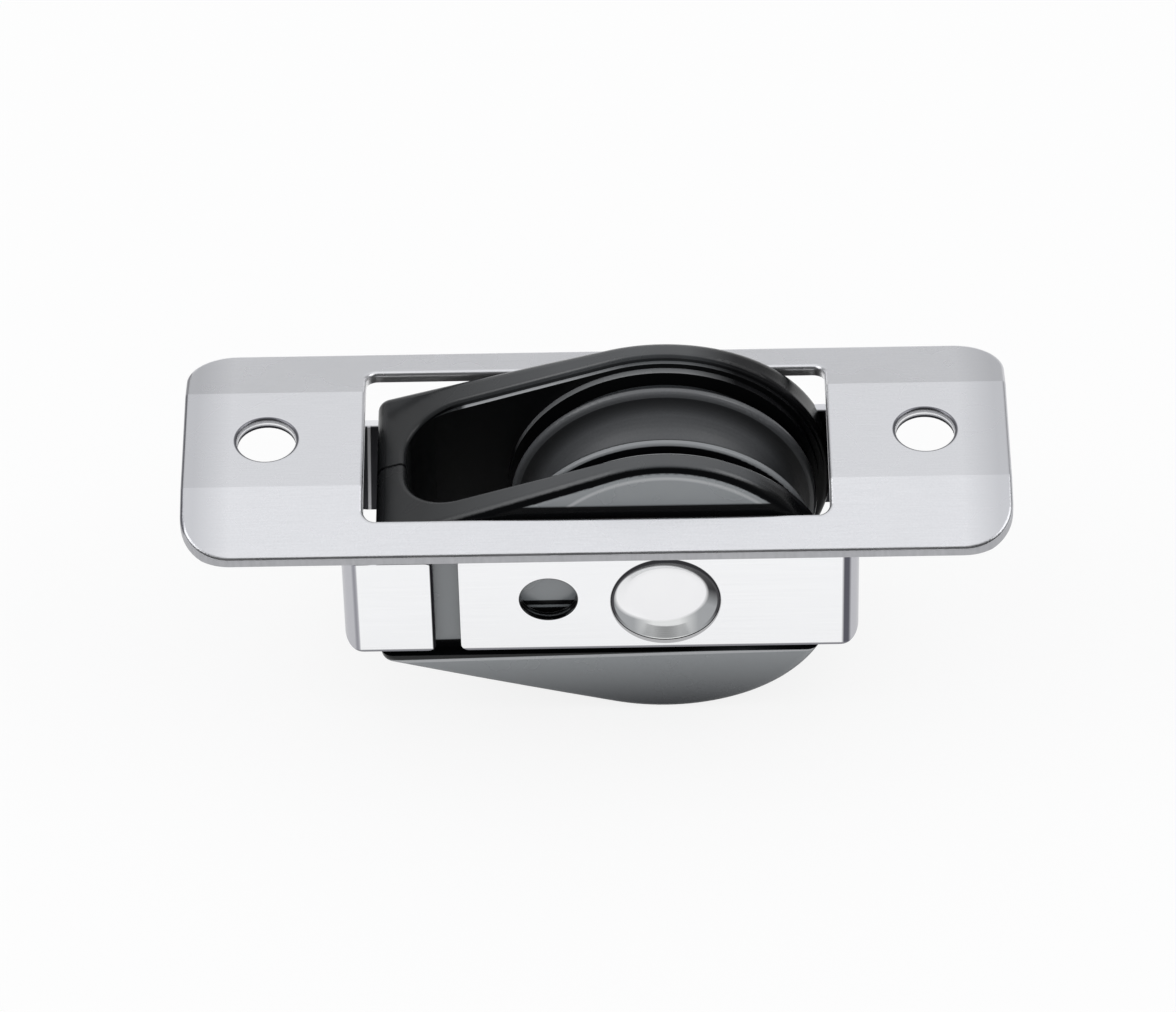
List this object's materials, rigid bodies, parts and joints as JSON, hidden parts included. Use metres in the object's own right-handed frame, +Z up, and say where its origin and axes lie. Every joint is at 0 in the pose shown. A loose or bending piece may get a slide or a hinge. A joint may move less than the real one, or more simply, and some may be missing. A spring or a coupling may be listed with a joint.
{
  "type": "through-deck block",
  "caption": "Deck plate with an opening through which a ball-bearing sheave in crowned cheeks stands half above and half below, held in a bent strap, to lead a line through a deck.",
  "frame": {"origin": "midway between the two screw holes, on the plate's top face", "axes": "+X along the plate from the block's head towards its sheave, +Z up out of the deck, and the axle lies along Y"},
  "size_m": [0.076, 0.027, 0.0315],
  "materials": {
    "plate_steel": "pressed stainless sheet, fine satin",
    "strap_steel": "stainless strip, smooth and bright",
    "weld_steel": "weld bead, dull",
    "axle_steel": "turned stainless, polished face",
    "rivet_steel": "stainless, as formed",
    "cheek_plastic": "moulded black, soft shine",
    "sheave_plastic": "turned black, satin",
    "race_plastic": "moulded black, satin",
    "ball_plastic": "off-white bearing plastic, smooth"
  },
  "bodies": {
    "frame": {"deck_plate": "plate_steel", "side_strap": "strap_steel", "weld_left": "weld_steel", "weld_right": "weld_steel", "cheek_near": "cheek_plastic", "cheek_far": "cheek_plastic", "inner_race": "race_plastic", "retainer_near": "race_plastic", "retainer_far": "race_plastic", "axle_pin": "axle_steel", "axle_cap": "axle_steel", "head_rivets": "rivet_steel"},
    "sheave": {"sheave": "sheave_plastic"},
    "balls": {"ball_01": "ball_plastic", "ball_02": "ball_plastic", "ball_03": "ball_plastic", "ball_04": "ball_plastic", "ball_05": "ball_plastic", "ball_06": "ball_plastic", "ball_07": "ball_plastic", "ball_08": "ball_plastic", "ball_09": "ball_plastic", "ball_10": "ball_plastic", "ball_11": "ball_plastic", "ball_12": "ball_plastic", "ball_13": "ball_plastic", "ball_14": "ball_plastic", "ball_15": "ball_plastic"}
  },
  "joints": [
    {"name": "sheave_spin", "type": "hinge", "parent": "frame", "child": "sheave", "pos_m": [0.0062, 0, -0.012], "axis": [0, 1, 0], "continuous": true},
    {"name": "ball_orbit", "type": "hinge", "parent": "frame", "child": "balls", "pos_m": [0.0062, 0, -0.012], "axis": [0, 1, 0], "continuous": true}
  ],
  "couplings": [
    {"joint": "ball_orbit", "follows": "sheave_spin", "ratio": 0.5994}
  ]
}
